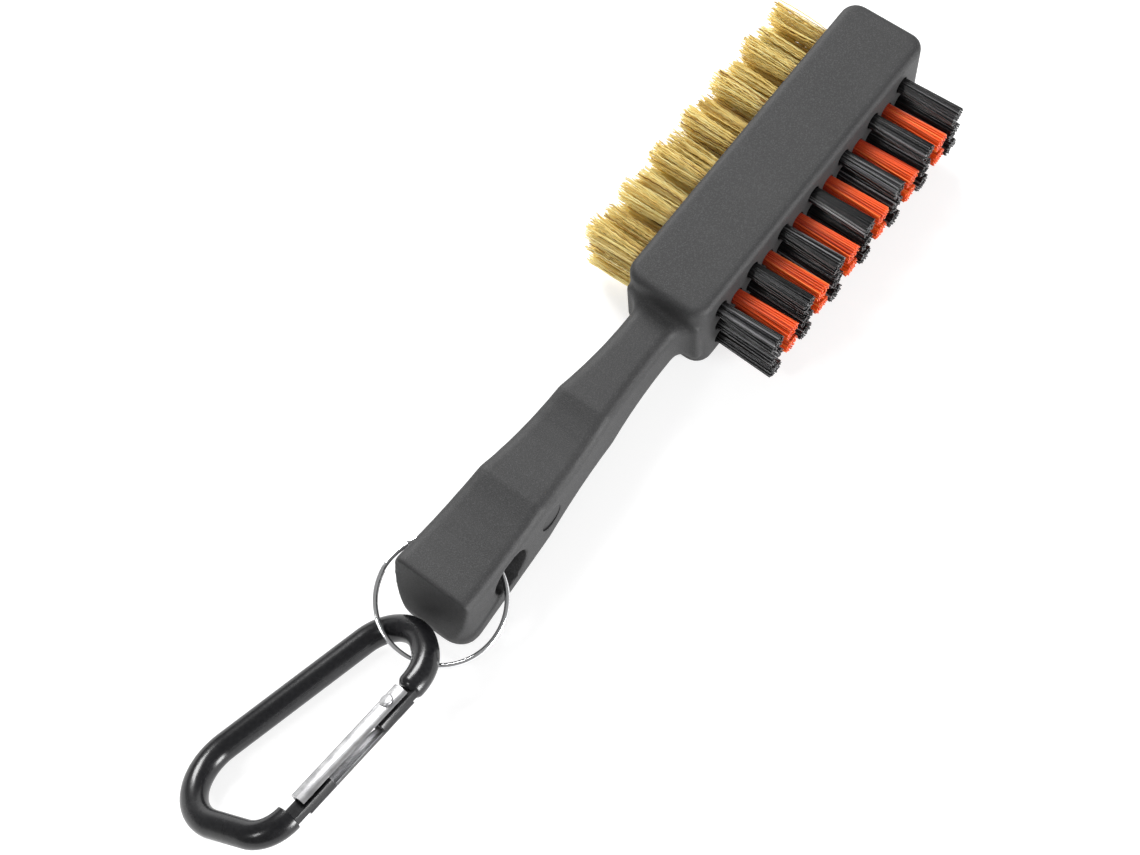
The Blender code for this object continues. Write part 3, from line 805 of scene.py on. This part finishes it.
def build_rivet(finish):
    """A turned pin with a domed head on top of the gate, its other end flush."""
    shoulder = GATE_RADIUS - RIVET_HEAD_SINK
    profile = [(0.0, shoulder + RIVET_HEAD_HEIGHT)]
    for k in range(1, 10):
        angle = math.radians(10.0 * k)
        radius = RIVET_HEAD_RADIUS * math.sin(angle)
        profile.append((radius, shoulder + RIVET_HEAD_HEIGHT * math.cos(angle) ** 0.7))
    profile += [(RIVET_HEAD_RADIUS, shoulder), (RIVET_RADIUS, shoulder)]
    profile += [(RIVET_RADIUS, -GATE_RADIUS), (0.0, -GATE_RADIUS)]
    bm = bmesh.new()
    verts = [bm.verts.new((radius, 0.0, height)) for radius, height in profile]
    for first, second in zip(verts[:-1], verts[1:]):
        bm.edges.new((first, second))
    item = scratch_object("rivet_pin", mesh_from("rivet_pin", bm))
    screw = item.modifiers.new("turn", "SCREW")
    screw.axis = "Z"
    screw.steps = 48
    screw.render_steps = 48
    screw.use_merge_vertices = True
    screw.merge_threshold = 0.00001
    mesh = baked_mesh("rivet_pin", item)
    smooth(mesh, 40.0)
    place = gate_matrix() @ Matrix.Translation((RIVET_INSET, RIVET_OFFSET, 0))
    piece = add_piece("rivet_pin", mesh, finish, place)
    settle(piece, "carabiner", "rivet_steel", "gate_rivet")


def build_spring(finish):
    """A bent wire along the inside of the gate's back, beyond the hinge tenon."""
    start = HINGE_TENON_LENGTH + 2 * FIT_GAP
    deepest = -(GATE_RADIUS - GATE_SHEET - FIT_GAP - SPRING_RADIUS)
    points = []
    for k in range(41):
        t = k / 40
        points.append((start + SPRING_LENGTH * t, deepest + SPRING_RISE * (1.0 - t) ** 2, 0.0))
    mesh = tube_mesh("spring_wire", points, SPRING_RADIUS, 4)
    smooth(mesh, 50.0)
    piece = add_piece("spring_wire", mesh, finish, gate_matrix())
    settle(piece, "gate", "rivet_steel", "gate_spring")


# ---------------------------------------------------------------- stage


def build_floor():
    bm = bmesh.new()
    bmesh.ops.create_grid(bm, x_segments=1, y_segments=1, size=FLOOR_SIZE)
    mesh = mesh_from("floor", bm)
    n = Nodes("pale_floor")
    n.fixed(Roughness=0.9)
    n.fixed(Specular_IOR_Level=0.1)
    n.fixed(Base_Color=(0.50, 0.50, 0.50, 1.0))
    n.fixed(Emission_Color=(1.0, 1.0, 1.0, 1.0))
    n.fixed(Emission_Strength=0.66)
    floor = add_piece("floor", mesh, n.material)
    floor.location.z = -FLOOR_DROP


def add_area(name, place, target, size, power):
    light = bpy.data.lights.new(name, "AREA")
    light.shape = "SQUARE"
    light.size = size
    light.energy = power
    made = bpy.data.objects.new(name, light)
    bpy.context.scene.collection.objects.link(made)
    made.location = place
    made.rotation_euler = (Vector(target) - Vector(place)).to_track_quat("-Z", "Y").to_euler()


def build_lights():
    middle = (-0.05, 0.0, 0.0)
    add_area("key", (0.40, 0.70, 0.68), middle, 0.45, 16.0)
    add_area("side", (0.00, -0.90, 0.20), middle, 0.40, 14.0)
    add_area("rim", (-0.60, 0.25, 0.55), middle, 0.15, 1.2)
    world = bpy.data.worlds.new("studio")
    world.use_nodes = True
    world.node_tree.nodes["Background"].inputs["Color"].default_value = (1.0, 1.0, 1.0, 1.0)
    world.node_tree.nodes["Background"].inputs["Strength"].default_value = 0.28
    bpy.context.scene.world = world
    bpy.context.scene.view_settings.view_transform = "Standard"


def build_camera():
    flat = math.cos(CAMERA_ELEVATION)
    out = Vector(
        (
            flat * math.cos(CAMERA_AZIMUTH),
            flat * math.sin(CAMERA_AZIMUTH),
            math.sin(CAMERA_ELEVATION),
        )
    )
    camera = bpy.data.cameras.new("camera")
    camera.lens = CAMERA_LENS
    camera.sensor_width = SENSOR_WIDTH
    camera.clip_start = 0.01
    made = bpy.data.objects.new("camera", camera)
    bpy.context.scene.collection.objects.link(made)
    look = (-out).to_track_quat("-Z", "Y").to_matrix().to_4x4()
    place = Matrix.Translation(CAMERA_TARGET + out * CAMERA_DISTANCE)
    made.matrix_world = place @ look @ Matrix.Rotation(CAMERA_ROLL, 4, "Z")
    bpy.context.scene.camera = made


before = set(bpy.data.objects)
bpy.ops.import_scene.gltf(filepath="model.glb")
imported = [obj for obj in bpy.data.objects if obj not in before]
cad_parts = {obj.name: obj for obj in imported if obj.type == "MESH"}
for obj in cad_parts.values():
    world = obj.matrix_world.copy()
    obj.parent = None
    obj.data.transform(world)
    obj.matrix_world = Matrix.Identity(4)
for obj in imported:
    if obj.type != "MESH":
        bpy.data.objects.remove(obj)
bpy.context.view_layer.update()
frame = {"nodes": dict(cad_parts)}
HEAD_SIDE_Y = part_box("brush_body")[1].y

build_camera()
build_lights()
build_floor()

# Strand colours in order: the darkest (painted shade in the gaps), the usual, the lightest (painted
# highlight streaks), and the root's painted shade; then the roughness.
nylon = {
    "black": nylon_material(
        "black_filament",
        (0.002, 0.002, 0.002),
        (0.008, 0.008, 0.009),
        (0.30, 0.30, 0.31),
        (0.001, 0.001, 0.001),
        0.20,
    ),
    "orange": nylon_material(
        "orange_filament",
        (0.45, 0.030, 0.004),
        (0.86, 0.100, 0.012),
        (1.0, 0.24, 0.05),
        (0.25, 0.008, 0.002),
        0.30,
    ),
}
steel = brushed_material("satin_steel", (1800.0, 1800.0, 90.0), (0.45, 0.45, 0.46), (0.80, 0.80, 0.80))
draw_lines = (60.0, 2600.0, 2600.0)
aluminium = brushed_material("drawn_aluminium", draw_lines, (0.42, 0.42, 0.43), (0.80, 0.80, 0.80))

build_body(frame, plastic_material())
build_nylon(frame, nylon)
build_brass(frame, brass_material())
build_ring(chrome_material())
build_carabiner(black_gloss_material())
build_gate(aluminium)
build_rivet(steel)
build_spring(steel)
